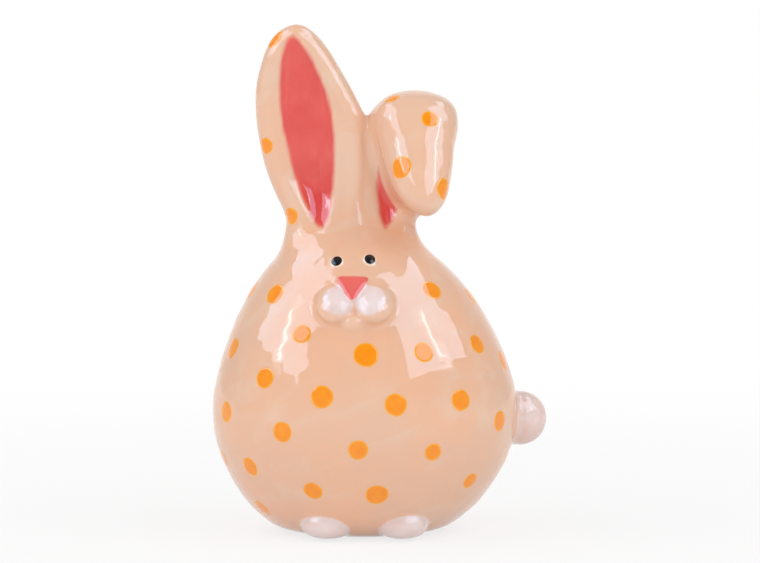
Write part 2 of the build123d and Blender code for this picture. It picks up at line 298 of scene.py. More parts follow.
def egg_profile():
    """A smooth polynomial for the egg's girth, from pole to pole, fitted to its two superellipses."""
    middle = (CROWN_HEIGHT - BASE_CUT) / 2
    reach = (CROWN_HEIGHT + BASE_CUT) / 2
    share = np.sin(np.linspace(-EGG_FIT_TURN, EGG_FIT_TURN, EGG_FIT_POINTS))
    height = middle + reach * share
    low = superellipse(np.clip((BELLY_HEIGHT - height) / (BELLY_HEIGHT + BASE_CUT), 0, 1), LOWER_POWER)
    high = superellipse(np.clip((height - BELLY_HEIGHT) / (CROWN_HEIGHT - BELLY_HEIGHT), 0, 1), UPPER_POWER)
    girth = np.where(height < BELLY_HEIGHT, low, high)
    return middle, reach, np.polyfit(share, girth / np.sqrt(1 - share**2), EGG_FIT_DEGREE)


EGG_MIDDLE, EGG_REACH, EGG_GIRTH = egg_profile()
EGG_GIRTH_SLOPE = np.polyder(EGG_GIRTH)


def lean(z):
    """Where the egg's axis stands at this height, across the figure."""
    rise = np.clip(z / CROWN_HEIGHT, 0, AXIS_END)
    return BELLY_BOW * np.sin(math.pi * rise) - CROWN_LEAN * rise**3


def egg(x, y, z):
    """About the distance from the egg's outer face."""
    share = (z - EGG_MIDDLE) / EGG_REACH
    bounded = np.clip(share, -GIRTH_END, GIRTH_END)
    girth = np.polyval(EGG_GIRTH, bounded)
    across = (x - lean(z)) / (BELLY_WIDTH / 2)
    deep = y / (BELLY_DEPTH / 2)
    level = across**2 + deep**2
    radius = np.sqrt(level / girth**2 + share**2) + TINY
    rise = (share - level * np.polyval(EGG_GIRTH_SLOPE, bounded) / girth**3) / EGG_REACH
    steepness = (across / (BELLY_WIDTH / 2)) ** 2 + (deep / (BELLY_DEPTH / 2)) ** 2
    return (radius - 1) * radius / np.sqrt(steepness / girth**4 + rise**2 + TINY)


def egg_point(angle, z):
    """The point on the egg at this angle from its front, turning towards its left."""
    share = (z - EGG_MIDDLE) / EGG_REACH
    girth = np.polyval(EGG_GIRTH, share) * math.sqrt(1 - share**2)
    turn = math.radians(angle)
    return np.array([
        lean(z) + BELLY_WIDTH / 2 * girth * math.sin(turn),
        -BELLY_DEPTH / 2 * girth * math.cos(turn),
        z,
    ])


def egg_frame(angle, z):
    """The egg's point there, with its directions across, up the face and outwards."""
    across = egg_point(angle + FRAME_STEP, z) - egg_point(angle - FRAME_STEP, z)
    upwards = egg_point(angle, z + FRAME_STEP) - egg_point(angle, z - FRAME_STEP)
    across /= np.linalg.norm(across)
    outwards = np.cross(across, upwards)
    outwards /= np.linalg.norm(outwards)
    return egg_point(angle, z), across, np.cross(outwards, across), outwards


def face_frame(x, z):
    """The egg's frame at this place on its front."""
    share = (z - EGG_MIDDLE) / EGG_REACH
    girth = np.polyval(EGG_GIRTH, share) * math.sqrt(1 - share**2)
    return egg_frame(math.degrees(math.asin((x - lean(z)) / (BELLY_WIDTH / 2 * girth))), z)


def local(frame, x, y, z):
    """Coordinates in a frame's own directions."""
    origin = frame[0]
    return [(x - origin[0]) * a[0] + (y - origin[1]) * a[1] + (z - origin[2]) * a[2] for a in frame[1:]]


def ellipsoid(size, u, v, w):
    """About the distance from an ellipsoid about the origin."""
    a, b, c = (s / 2 for s in size)
    radius = np.sqrt((u / a) ** 2 + (v / b) ** 2 + (w / c) ** 2) + TINY
    return (radius - 1) * radius / np.sqrt((u / a**2) ** 2 + (v / b**2) ** 2 + (w / c**2) ** 2 + TINY)


def spline(points):
    """A smooth closed line through the points."""
    p = np.array(points)
    t = np.linspace(0, 1, OUTLINE_SPAN_POINTS, endpoint=False)[:, None, None]
    before, after, beyond = (np.roll(p, -k, axis=0) for k in (-1, 1, 2))
    line = (
        2 * p
        + (after - before) * t
        + (2 * before - 5 * p + 4 * after - beyond) * t**2
        + (3 * p - before - 3 * after + beyond) * t**3
    ) / 2
    return line.transpose(1, 0, 2).reshape(-1, 2)


def distance_table(points):
    """Distances from a smooth closed outline in the XZ plane, negative inside it, on a grid of X and Z."""
    x, z = np.meshgrid(*TABLE_AXES, indexing="ij")
    place = np.stack([x.ravel(), z.ravel()], axis=1)
    start = spline(points)
    nearest = np.full(len(place), np.inf)
    inside = np.zeros(len(place), dtype=bool)
    for a, d in zip(start, np.roll(start, -1, axis=0) - start):
        offset = place - a
        share = np.clip(offset @ d / (d @ d), 0, 1)
        nearest = np.minimum(nearest, ((offset - share[:, None] * d) ** 2).sum(axis=1))
        if d[1]:
            crossing = (offset[:, 1] < 0) != (offset[:, 1] < d[1])
            inside ^= crossing & (offset[:, 0] < offset[:, 1] * d[0] / d[1])
    return (np.sqrt(nearest) * np.where(inside, -1, 1)).reshape(x.shape)


def blurred(table, rounds):
    """The table with its creases smoothed away."""
    for _ in range(rounds):
        wide = np.pad(table, 1, mode="edge")
        table = (wide[:-2, 1:-1] + wide[2:, 1:-1] + wide[1:-1, :-2] + wide[1:-1, 2:] + wide[1:-1, 1:-1]) / 5
    return table


def sharp_and_soft(points, rounds):
    table = distance_table(points)
    return table, blurred(table, rounds)


def look_up(table, x, z):
    """The table's smooth value at these places, from cubic splines."""
    parts = []
    for value, axis in zip((x, z), TABLE_AXES):
        steps = np.clip((value - axis[0]) / TABLE_STEP, 1, len(axis) - 3)
        index = np.minimum(steps.astype(int), len(axis) - 3)
        f = steps - index
        weights = [(1 - f) ** 3, 3 * f**3 - 6 * f**2 + 4, -3 * f**3 + 3 * f**2 + 3 * f + 1, f**3]
        parts.append((index, [w / 6 for w in weights]))
    (i, across), (j, upwards) = parts
    total = 0
    for a in range(4):
        for b in range(4):
            total = total + across[a] * upwards[b] * table[i + a - 1, j + b - 1]
    return total


def plate(edge, y, half):
    """A plate with a round rim, from the distances from its outline and from its middle plane."""
    return np.hypot(np.maximum(edge + half, 0), y) - half


TABLE_STEP = 0.5
TABLE_AXES = [np.arange(-45.0, 45.0, TABLE_STEP), np.arange(55.0, 130.0, TABLE_STEP)]
UPRIGHT_TABLES = sharp_and_soft(UPRIGHT_OUTLINE, EAR_BLUR_ROUNDS)
STEM_TABLES = sharp_and_soft(STEM_OUTLINE, EAR_BLUR_ROUNDS)
FLAP_TABLE = distance_table(FLAP_OUTLINE)
UPRIGHT_LINING_TABLES = sharp_and_soft(UPRIGHT_LINING, LINING_BLUR_ROUNDS)
FOLDED_LINING_TABLES = sharp_and_soft(FOLDED_LINING, LINING_BLUR_ROUNDS)


def soft_step(value):
    value = np.clip(value, 0, 1)
    return value * value * (3 - 2 * value)


def fade_down(z, heights):
    """A share that grows from none at the upper end to the whole at the lower one."""
    low, high = heights
    return soft_step((high - z) / (high - low))


def ear_plate(tables, lining_tables, x, y, z):
    """An ear: a plate, thicker at its root and dished in front, with a gutter low in its painted field."""
    edge, soft_edge = (look_up(table, x, z) for table in tables)
    dish = EAR_DISH * soft_step((-soft_edge - EAR_RIM) / EAR_DISH_RUN)
    gutter = soft_step((GUTTER_RIM - look_up(lining_tables[1], x, z)) / GUTTER_RUN)
    dish = dish + GUTTER_DEPTH * gutter * fade_down(z, GUTTER_HEIGHTS)
    half = EAR_HALF_THICKNESS + EAR_ROOT_SWELL * fade_down(z, EAR_ROOT_HEIGHTS)
    return plate(edge, y - dish / 2, half - dish / 2)


def smooth_min(a, b, run):
    share = np.maximum(run - np.abs(a - b), 0) / run
    return np.minimum(a, b) - share**2 * run / 4


def upright_ear(x, y, z):
    return ear_plate(UPRIGHT_TABLES, UPRIGHT_LINING_TABLES, x, y, z)


def folded_ear(x, y, z):
    return ear_plate(STEM_TABLES, FOLDED_LINING_TABLES, x, y - FOLDED_EAR_Y, z)


def flap(x, y, z):
    """The folded ear's tip: a pad that leans out, solid back to its stem, and the fold above it."""
    drop = np.maximum(FLAP_TOP[1] - z, 0)
    middle = FLAP_TOP[0] - FLAP_LEAN * drop
    behind = y - middle
    slope = FLAP_WALL_SPREAD * fade_down(x, FLAP_WALL_X) * fade_down(z, FLAP_WALL_HEIGHTS)
    rounded = np.clip(behind + FLAP_HALF_THICKNESS, 0, FLAP_HALF_THICKNESS)
    spread = slope * (rounded**2 / (2 * FLAP_HALF_THICKNESS) + np.maximum(behind, 0))
    pad = plate(look_up(FLAP_TABLE, x, z) - spread, np.minimum(behind, 0), FLAP_HALF_THICKNESS)
    pad = -smooth_min(-pad, FLAP_BACK_Y - y, FLAP_BACK_EDGE)
    u, v, w = (np.abs(p - m) / r for p, m, r in zip((x, y, z), FOLD_MIDDLE, FOLD_RADII))
    fold = ((u**FOLD_POWER + v**FOLD_POWER + w**FOLD_POWER) ** (1 / FOLD_POWER) - 1) * min(FOLD_RADII)
    return smooth_min(pad, fold, FOLD_FILLET)


def tail(x, y, z):
    u, v, w = local(egg_frame(TAIL_ANGLE, TAIL_HEIGHT), x, y, z)
    return np.sqrt(u**2 + v**2 + (w - TAIL_LIFT) ** 2) - TAIL_DIAMETER / 2


def foot(side, x, y, z):
    u = x - FOOT_MIDDLE[0] - side * FOOT_SPREAD / 2
    return ellipsoid(FOOT_SIZE, u, y - FOOT_MIDDLE[1], z - FOOT_MIDDLE[2])


def cheek_frame(side):
    """A cheek's middle and directions: those of the muzzle, with the top leaning back into the face."""
    place = face_frame(CHEEK_MIDDLE[0] + side * CHEEK_SPREAD / 2, CHEEK_MIDDLE[1])[0]
    across, upwards, outwards = face_frame(*CHEEK_MIDDLE)[1:]
    turn = math.radians(CHEEK_TILT)
    tilted = math.cos(turn) * upwards - math.sin(turn) * outwards
    return place, across, tilted, np.cross(across, tilted)


def cheek(side, x, y, z):
    return ellipsoid(CHEEK_SIZE, *local(cheek_frame(side), x, y, z))


def chin(x, y, z):
    return ellipsoid(CHIN_SIZE, *local(face_frame(*CHIN_MIDDLE), x, y, z))


def nose_depth(u, v):
    """How far inside the nose's three-cornered outline a place is."""
    half_width = NOSE_WIDTH / 2 - NOSE_CORNER
    half_height = NOSE_HEIGHT / 2 - NOSE_CORNER
    side = math.hypot(2 * half_height, half_width)
    flanks = [((v + half_height) * half_width - turn * u * 2 * half_height) / side for turn in (-1, 1)]
    return smooth_min(smooth_min(*flanks, NOSE_CORNER), half_height - v, NOSE_CORNER) + NOSE_CORNER


def nose(x, y, z):
    """A three-cornered cushion, flush with the face at the top, with its point down over the cheeks."""
    u, v, w = local(face_frame(*NOSE_MIDDLE), x, y, z)
    run, height = NOSE_DOME
    above = np.maximum(w + NOSE_SLANT * v - NOSE_LIFT + height, 0) / height
    return (np.hypot(1 - nose_depth(u, v) / run, above) - 1) * height


def eye_frame(side):
    return face_frame(EYE_MIDDLE[0] + side * EYE_SPREAD / 2, EYE_MIDDLE[1] - RIGHT_EYE_DROP * (side < 0))


def eye(side, x, y, z):
    return ellipsoid(EYE_SIZE, *local(eye_frame(side), x, y, z))


# Each form, the group that it joins first, and how far round it its own mesh is laid over its neighbours'
FORMS = {
    "body_shell": (egg, "body", 0),
    "upright_ear": (upright_ear, "ears", 0),
    "folded_ear_stem": (folded_ear, "ears", 0),
    "folded_ear_flap": (flap, "flap", 0.3),
    "tail": (tail, "tail", 1.0),
    "right_foot": (partial(foot, -1), "feet", 1.0),
    "left_foot": (partial(foot, 1), "feet", 1.0),
    "right_cheek": (partial(cheek, -1), "muzzle", 1.0),
    "left_cheek": (partial(cheek, 1), "muzzle", 1.0),
    "chin": (chin, "muzzle", 1.0),
    "nose": (nose, "nose", 1.2),
    "right_eye": (partial(eye, -1), "eyes", 1.2),
    "left_eye": (partial(eye, 1), "eyes", 1.2),
}
# The width of the soft joins within each group, and between it and the groups above it
GROUPS = {
    "body": (0, 0),
    "ears": (GROOVE_FILLET, EAR_FILLET),
    "flap": (0, FLAP_FILLET),
    "tail": (0, TAIL_FILLET),
    "feet": (FOOT_FILLET, FOOT_FILLET),
    "muzzle": (CHIN_FILLET, CHEEK_FILLET),
    "nose": (0, NOSE_FILLET),
    "eyes": (NOSE_FILLET, NOSE_FILLET),
}
FACE = ["right_cheek", "left_cheek", "chin", "nose", "right_eye", "left_eye"]
FEET = ["right_foot", "left_foot"]
LININGS = {"upright_ear_lining": "upright_ear", "folded_ear_lining": "folded_ear_stem"}


def ripple(x, y, z):
    """The slight unevenness of a hand-dipped glaze: three sets of waves whose lengths never fall in step."""
    slow = np.sin(x / 5.1 + 1.3) * np.sin(y / 4.7 + 0.4) * np.sin(z / 5.6 + 2.1)
    quick = np.sin(x / 2.3 + z / 4.1) * np.sin(z / 2.6 - y / 3.3 + 0.7)
    fine = np.sin(x / 1.1 - z / 1.6 + 0.3) * np.sin(z / 1.2 + x / 1.9 + y / 1.5)
    return RIPPLE_HEIGHTS[0] * slow + RIPPLE_HEIGHTS[1] * quick + RIPPLE_HEIGHTS[2] * fine


def fused(names, x, y, z):
    """The whole figure near these forms, and each form's own field."""
    own = {name: FORMS[name][0](x, y, z) for name in names}
    whole = None
    for group, (inner, outer) in GROUPS.items():
        members = [own[name] for name in names if FORMS[name][1] == group]
        if members:
            joined = members[0]
            for member in members[1:]:
                joined = smooth_min(joined, member, inner)
            whole = joined if whole is None else smooth_min(whole, joined, outer)
    return -smooth_min(-(whole + ripple(x, y, z)), z, BASE_EDGE), own


def outside(name, own):
    """How far a place lies outside a form's own share of the surface."""
    shares = {other: field - FORMS[other][2] for other, field in own.items()}
    rest = [field for other, field in shares.items() if other != name]
    return (shares[name] - np.minimum.reduce(np.broadcast_arrays(*rest))) / 2


def lining_edge(name, x, y, z):
    """The distance from the edge of an ear's painted field, on the ear's front only."""
    if name == "upright_ear":
        return np.maximum(look_up(UPRIGHT_LINING_TABLES[0], x, z), y)
    return np.maximum(look_up(FOLDED_LINING_TABLES[0], x, z), y - FOLDED_EAR_Y)


def form_piece(name, names):
    """A piece's field: the whole figure where its form is nearest, sinking under its neighbours past that."""

    def field(x, y, z):
        whole, own = fused(names, x, y, z)
        beyond = outside(name, own)
        sunk = whole + SKIRT_SINK * (np.maximum(beyond, 0) / SKIRT) ** 2
        if name in LININGS.values():
            sunk = sunk + SKIRT_SINK * soft_step(-lining_edge(name, x, y, z) / SKIRT)
        piece = np.maximum(sunk, beyond - SKIRT)
        if name == "body_shell":
            piece = hollowed(piece, x, y, z)
        return piece

    return field


def lining_piece(ear, names):
    """The skin of glaze over an ear's painted field."""

    def field(x, y, z):
        whole, own = fused(names, x, y, z)
        beyond = np.maximum(lining_edge(ear, x, y, z), outside(ear, own))
        sunk = whole + SKIRT_SINK * (np.maximum(beyond, 0) / SKIRT) ** 2
        return np.maximum(np.maximum(sunk, beyond - SKIRT), -whole - LINING_DEPTH)

    return field


def hollowed(piece, x, y, z):
    """The body with its cavity, the recess inside its foot ring and the vent."""
    ring = superellipse(BELLY_HEIGHT / (BELLY_HEIGHT + BASE_CUT), LOWER_POWER)
    wide = BELLY_WIDTH / 2 * ring - BASE_RING_WIDTH
    deep = BELLY_DEPTH / 2 * ring - BASE_RING_WIDTH
    cavity = np.maximum(egg(x, y, z) + WALL, WALL - z)
    recess = np.maximum((np.hypot(x / wide, y / deep) - 1) * deep, z - BASE_RECESS)
    vent = np.maximum(np.hypot(x, y) - VENT_DIAMETER / 2, z - 2 * WALL)
    return np.maximum(piece, -np.minimum(cavity, np.minimum(recess, vent)))


def gradient(field, points):
    """The field's slope at each point."""
    slope = np.empty_like(points)
    for k in range(3):
        ahead, behind = points.copy(), points.copy()
        ahead[:, k] += SLOPE_REACH
        behind[:, k] -= SLOPE_REACH
        slope[:, k] = (field(*ahead.T) - field(*behind.T)) / (2 * SLOPE_REACH)
    return slope


def polygonised(field, low, high, step):
    """The closed mesh where the field is zero, as points, quads and normals."""
    axes = [np.arange(a - 2 * step, b + 2 * step, step) for a, b in zip(low, high)]
    values = field(*np.meshgrid(*axes, indexing="ij", sparse=True))
    grid = openvdb.FloatGrid(float(step))
    grid.copyFromArray(np.ascontiguousarray(values, dtype=np.float32))
    points, quads = grid.convertToQuads(isovalue=0.0)
    points = points.astype(float) * step + [axis[0] for axis in axes]
    for _ in range(MOVE_ROUNDS):
        slope = gradient(field, points)
        move = field(*points.T) / np.maximum((slope**2).sum(axis=1), LEAST_SLOPE)
        points -= slope * np.clip(move, -step / 2, step / 2)[:, None]
    slope = gradient(field, points)
    return points, quads, slope / np.maximum(np.linalg.norm(slope, axis=1), LEAST_NORMAL)[:, None]


# Which forms each piece can touch, the size of its mesh cells and the record's slot for its finish
EVERY = list(FORMS)
HEAD = ["body_shell", "upright_ear", "folded_ear_stem", "folded_ear_flap"]
FACED = ["body_shell"] + FACE
PIECES = {
    "body_shell": (EVERY, 0.6, "peach_glaze"),
    "upright_ear": (HEAD, 0.4, "peach_glaze"),
    "upright_ear_lining": (HEAD, 0.25, "pink_glaze"),
    "folded_ear_stem": (HEAD, 0.4, "peach_glaze"),
    "folded_ear_lining": (HEAD, 0.25, "pink_glaze"),
    "folded_ear_flap": (HEAD, 0.4, "peach_glaze"),
    "tail": (["body_shell", "tail"], 0.3, "white_glaze"),
    "right_foot": (["body_shell"] + FEET, 0.3, "white_glaze"),
    "left_foot": (["body_shell"] + FEET, 0.3, "white_glaze"),
    "right_cheek": (FACED, 0.2, "white_glaze"),
    "left_cheek": (FACED, 0.2, "white_glaze"),
    "chin": (FACED, 0.15, "peach_glaze"),
    "nose": (FACED, 0.15, "pink_glaze"),
    "right_eye": (FACED, 0.1, "black_glaze"),
    "left_eye": (FACED, 0.1, "black_glaze"),
}


def figure(x, y, z):
    return fused(EVERY, x, y, z)[0]


def landing(start, way):
    """Where a ray first meets the figure, or None."""
    place = np.array(start, dtype=float)
    for _ in range(RAY_STEPS):
        gap = float(figure(*place))
        if gap < RAY_TOUCH:
            return place
        place = place + np.array(way) * min(gap, RAY_STRIDE) * RAY_STRIDE_SHARE
        if place @ way > RAY_END:
            return None
    return None


def camera_places():
    """Where the camera stands, in metres, and the point at the middle of its picture."""
    across = (FRAME_WIDTH_PX / 2 - ORIGIN_PX[0]) * MM_PER_PX * MM
    tilt = math.radians(CAMERA_ELEVATION)
    rise = (ORIGIN_PX[1] - FRAME_HEIGHT_PX / 2) * MM_PER_PX * MM / math.cos(tilt)
    eye = (across, -CAMERA_DISTANCE * math.cos(tilt), rise + CAMERA_DISTANCE * math.sin(tilt))
    return eye, (across, 0, rise)


def dot_middles():
    """The painted dots' middles and diameters: those in the photograph, then scattered rows over the back."""
    eye, target = (np.array(place) / MM for place in camera_places())
    tilt = math.radians(CAMERA_ELEVATION)
    up = np.array([0, math.sin(tilt), math.cos(tilt)])
    dots = []
    for across, down, diameter in PHOTO_DOTS:
        seen = target + up * (FRAME_HEIGHT_PX / 2 - down) * MM_PER_PX
        seen[0] += (across - FRAME_WIDTH_PX / 2) * MM_PER_PX
        way = (seen - eye) / np.linalg.norm(seen - eye)
        place = landing(seen - way * RAY_START, way)
        if place is not None:
            dots.append((place, diameter))
    for row, z in enumerate(np.arange(*BACK_ROWS)):
        for x in np.arange(*BACK_COLUMNS) + (row % 2) * BACK_COLUMNS[2] / 2:
            stray = BACK_SCATTER * np.sin(SCATTER_BY_ROW * row + SCATTER_BY_COLUMN * x)
            place = landing((x + stray[0], RAY_START, z + stray[1]), np.array([0, -1.0, 0]))
            if place is not None and min(np.linalg.norm(place - middle) for middle, _ in dots) > BACK_GAP:
                dots.append((place, BACK_DOT_DIAMETER))
    return np.array([middle for middle, _ in dots]), np.array([diameter for _, diameter in dots])


def white_field(own, x, y, z):
    """The distance from the edges of the white patches on the tail, the feet and the cheeks."""
    feet = np.minimum(own["right_foot"], own["left_foot"])
    on_tail = np.maximum(own["tail"] - TAIL_PAINT, -TAIL_SHEERNESS)
    patches = [on_tail, FOOT_PAINT_CRISPNESS * (feet - FOOT_PAINT)]
    for side in (-1, 1):
        place = cheek_frame(side)[0]
        u, v, w = local((place,) + face_frame(*CHEEK_MIDDLE)[1:], x, y, z)
        across = (u + side * CHEEK_PAINT_INWARDS) / CHEEK_PAINT[0]
        upwards = (v - CHEEK_PAINT_LIFT) / CHEEK_PAINT[1]
        patches.append(np.maximum((np.hypot(across, upwards) - 1) * CHEEK_PAINT[0], -w))
    return np.minimum.reduce(patches)


def pink_field(own, x, y, z):
    """The distance from the edges of the ears' painted fields. The flap covers one of them in part."""
    under_flap = own["folded_ear_stem"] - own["folded_ear_flap"]
    folded = np.maximum(lining_edge("folded_ear_stem", x, y, z), under_flap)
    return np.minimum(lining_edge("upright_ear", x, y, z), folded)


def nose_field(x, y, z):
    u, v, w = local(face_frame(*NOSE_MIDDLE), x, y, z)
    return np.maximum(-nose_depth(u, v), -w - PAINT_DEPTH)


def eye_field(x, y, z):
    width, height = EYE_SIZE[:2]
    eyes = []
    for side in (-1, 1):
        u, v, w = local(eye_frame(side), x, y, z)
        oval = (np.hypot(2 * u / width, 2 * v / height) - 1) * width / 2
        eyes.append(np.maximum(oval, -w - PAINT_DEPTH))
    return np.minimum(*eyes)


def thin_and_reflected_field(own, x, y, z):
    """How pale the glaze is, as a depth inside the ears' outlines: thinner glaze on the flap and the muzzle,
    and a painted reflection of the pale room on the ears' fronts.
    """
    depth = -np.minimum(look_up(UPRIGHT_TABLES[0], x, z), look_up(STEM_TABLES[0], x, z))
    on_ear = (y < FOLDED_EAR_Y) & (own["folded_ear_flap"] > own["folded_ear_stem"])
    above_root = (z - EAR_ROOT_HEIGHTS[0]) / EAR_PAINTED_REFLECTION_RISE
    # Ears' fronts: a painted reflection of the pale room, paler further inside the outline. Flap and ear
    # backs above the crown: thinner glaze
    thin_and_reflected = np.where(on_ear, np.minimum(depth, above_root), FLAP_THIN * (z > CROWN_HEIGHT))
    muzzle = np.minimum.reduce([own["right_cheek"], own["left_cheek"], own["chin"]])
    return np.maximum(thin_and_reflected, MUZZLE_THIN * soft_step((MUZZLE_THIN_EDGE - muzzle) / MUZZLE_THIN_RUN))


def paint(points, dots):
    """What the glaze over each point is coloured by, as named values in millimetres."""
    x, y, z = points.T
    whole, own = fused(EVERY, x, y, z)
    nearest = np.minimum.reduce(list(own.values()))
    middles, diameters = dots
    reach = np.sqrt(((points[:, None, :] - middles[None]) ** 2).sum(axis=2)) - diameters / 2
    return {
        "dot": reach.min(axis=1),
        "white": white_field(own, x, y, z),
        "pink": pink_field(own, x, y, z),
        "nose": nose_field(x, y, z),
        "black": eye_field(x, y, z),
        "pooled": np.clip(nearest - whole, 0, DEEPEST_POOL),
        "thin_and_reflected": thin_and_reflected_field(own, x, y, z),
        "bare": np.minimum(z - BARE_EDGE, nearest + WALL / 2),
    }


def material(name):
    mat = bpy.data.materials.new(name)
    mat.use_nodes = True
    mat.node_tree.nodes.clear()
    return mat


class Nodes:
    """Short ways to add and link the nodes of a material or the world."""

    def __init__(self, tree):
        self.tree = tree

    def add(self, kind, inputs=None, **settings):
        node = self.tree.nodes.new(kind)
        for key, value in settings.items():
            setattr(node, key, value)
        for key, value in (inputs or {}).items():
            self.set(node.inputs[key], value)
        return node

    def set(self, socket, value):
        if isinstance(value, bpy.types.NodeSocket):
            self.tree.links.new(value, socket)
        else:
            socket.default_value = value

    def math(self, operation, a, b=0.0):
        return self.add("ShaderNodeMath", {0: a, 1: b}, operation=operation).outputs[0]

    def ramp(self, value, low, high, to_low=0.0, to_high=1.0):
        inputs = {"Value": value, "From Min": low, "From Max": high, "To Min": to_low, "To Max": to_high}
        return self.add("ShaderNodeMapRange", inputs, interpolation_type="SMOOTHSTEP").outputs["Result"]

    def mix(self, share, a, b):
        node = self.add("ShaderNodeMix", {0: share, 6: a, 7: b}, data_type="RGBA")
        return node.outputs[2]

    def inside(self, edge, low, high):
        """One inside a painted edge and none outside it."""
        return self.ramp(edge, low, high, 1.0, 0.0)

    def noise(self, place, scale, detail=2.0):
        inputs = {"Vector": place, "Scale": scale, "Detail": detail}
        return self.add("ShaderNodeTexNoise", inputs).outputs["Fac"]

    def wobble(self, place, scale, width, detail=2.0):
        """Noise about zero."""
        return self.math("MULTIPLY", self.math("SUBTRACT", self.noise(place, scale, detail), 0.5), width)

    def mottled(self, noise, low, high, tones):
        """Two tones that run into each other."""
        return self.mix(self.ramp(noise, low, high), *tones)

    def mirrored(self):
        """One for what mirrors and glass show."""
        path = self.add("ShaderNodeLightPath").outputs
        return self.math("MAXIMUM", path["Is Glossy Ray"], path["Is Transmission Ray"])

    def shown(self, mirrored):
        """One for what the camera sees directly, and as given for what it sees in mirrors."""
        direct = self.add("ShaderNodeLightPath").outputs["Is Camera Ray"]
        return self.math("MAXIMUM", direct, mirrored)

    def value(self, name):
        return self.add("ShaderNodeAttribute", attribute_name=name).outputs["Fac"]


def linear(level):
    """The share of light that a screen shows for a level from 0 to 255."""
    share = level / 255
    if level < 10.3:
        return share / 12.92
    return ((share + 0.055) / 1.055) ** 2.4


def colour(red, green, blue):
    return linear(red), linear(green), linear(blue), 1


# Colours of the glaze, its paint and the bare clay, in pairs where two tones run into each other
PEACH = (colour(236, 185, 153), colour(230, 187, 159))
PEACH_POOLED = colour(238, 178, 138)
# Paler peach: thinner glaze on the flap and muzzle, and a painted reflection on the ears' fronts
PEACH_THIN_AND_REFLECTED = colour(233, 206, 185)
PEACH_BRUSHED = colour(231, 202, 179)
PEACH_GRAIN = colour(196, 150, 122)
ORANGE = (colour(252, 152, 2), colour(248, 144, 0))
ORANGE_RIM = colour(246, 172, 50)
PINK = (colour(221, 74, 68), colour(227, 84, 78))
PINK_WORN = colour(231, 108, 98)
WHITE = (colour(234, 218, 217), colour(229, 207, 202))
NOSE_PINK = colour(231, 102, 94)
EYE_RING = colour(250, 226, 206)
EYE_BLACK = colour(9, 5, 5)
CLAY = (colour(236, 226, 210), colour(222, 209, 190))

# Brush strokes: the slant and size of those in the peach, in metres, and the fineness of those in the pink
STROKE_SLANT = (0, 1.2, 0)
STROKE_SIZE = (0.006, 0.006, 0.03)
BRISTLES = (900.0, 900.0, 260.0)

# Surface: the glaze's gloss, the clay's roughness, and the relief of the dots and of the glaze
GLAZE_IOR = 1.6
GLAZE_ROUGHNESS = (0.015, 0.035)
CLAY_ROUGHNESS = 0.6
DOT_RELIEF = 0.5
GLAZE_RELIEF = 0.15
RELIEF_STRENGTH = 0.25
RELIEF_DEPTH = 0.0005


def peach_ground(n, place):
    """Peach glaze, deeper where it pools, paler where it ran thinner on the flap and muzzle and with a
    painted reflection of the pale room on the ears' fronts, with brush strokes and a fine grain.
    """
    ground = n.mottled(n.noise(place, 55.0), 0.35, 0.7, PEACH)
    ground = n.mix(n.ramp(n.value("pooled"), 0.4, 1.6, 0.0, 0.4), ground, PEACH_POOLED)
    # Paler peach: thinner glaze on the flap and the muzzle, a painted reflection of the pale room on the
    # ears' fronts
    ground = n.mix(n.ramp(n.value("thin_and_reflected"), 1.0, 4.0, 0.0, 0.42), ground, PEACH_THIN_AND_REFLECTED)
    slanted = {"Vector": place, "Rotation": STROKE_SLANT, "Scale": STROKE_SIZE}
    strokes = n.add("ShaderNodeMapping", slanted, vector_type="TEXTURE").outputs["Vector"]
    ground = n.mix(n.ramp(n.noise(strokes, 1.0, 5.0), 0.5, 0.7, 0.0, 0.45), ground, PEACH_BRUSHED)
    return n.mix(n.ramp(n.noise(place, 2600.0, 1.0), 0.62, 0.8, 0.0, 0.12), ground, PEACH_GRAIN)


def with_dots(n, place, ground):
    """The ground with its orange dots, and the share of a dot's full thickness at each place."""
    reach = n.math("ADD", n.value("dot"), n.wobble(place, 320.0, 0.6))
    thick = n.inside(reach, -0.5, -0.1)
    rimmed = n.mix(n.inside(reach, -0.15, 0.15), ground, ORANGE_RIM)
    return n.mix(thick, rimmed, n.mottled(n.noise(place, 420.0), 0.3, 0.7, ORANGE)), thick


def with_pink(n, place, body):
    """The ears' pink fields, with a fringe of brush marks and worn streaks."""
    brush = n.add("ShaderNodeMapping", {"Vector": place, "Scale": BRISTLES}).outputs["Vector"]
    edge = n.math("ADD", n.value("pink"), n.wobble(brush, 1.0, 0.7, 3.0))
    tone = n.mottled(n.noise(place, 130.0, 4.0), 0.35, 0.68, PINK)
    tone = n.mix(n.ramp(n.noise(brush, 0.6, 4.0), 0.5, 0.75, 0.0, 0.35), tone, PINK_WORN)
    return n.mix(n.inside(edge, -0.9, 0.35), body, tone)


def with_white_and_face(n, place, soft, body):
    """The white patches, the nose, and the eyes with the pale rings round them."""
    tone = n.mottled(n.noise(place, 160.0), 0.3, 0.7, WHITE)
    body = n.mix(n.inside(n.math("ADD", n.value("white"), soft), -0.5, 0.25), body, tone)
    body = n.mix(n.inside(n.math("ADD", n.value("nose"), soft), -0.12, 0.12), body, NOSE_PINK)
    body = n.mix(n.ramp(n.value("black"), 0.2, 0.5, 0.7, 0.0), body, EYE_RING)
    return n.mix(n.inside(n.value("black"), -0.05, 0.08), body, EYE_BLACK)


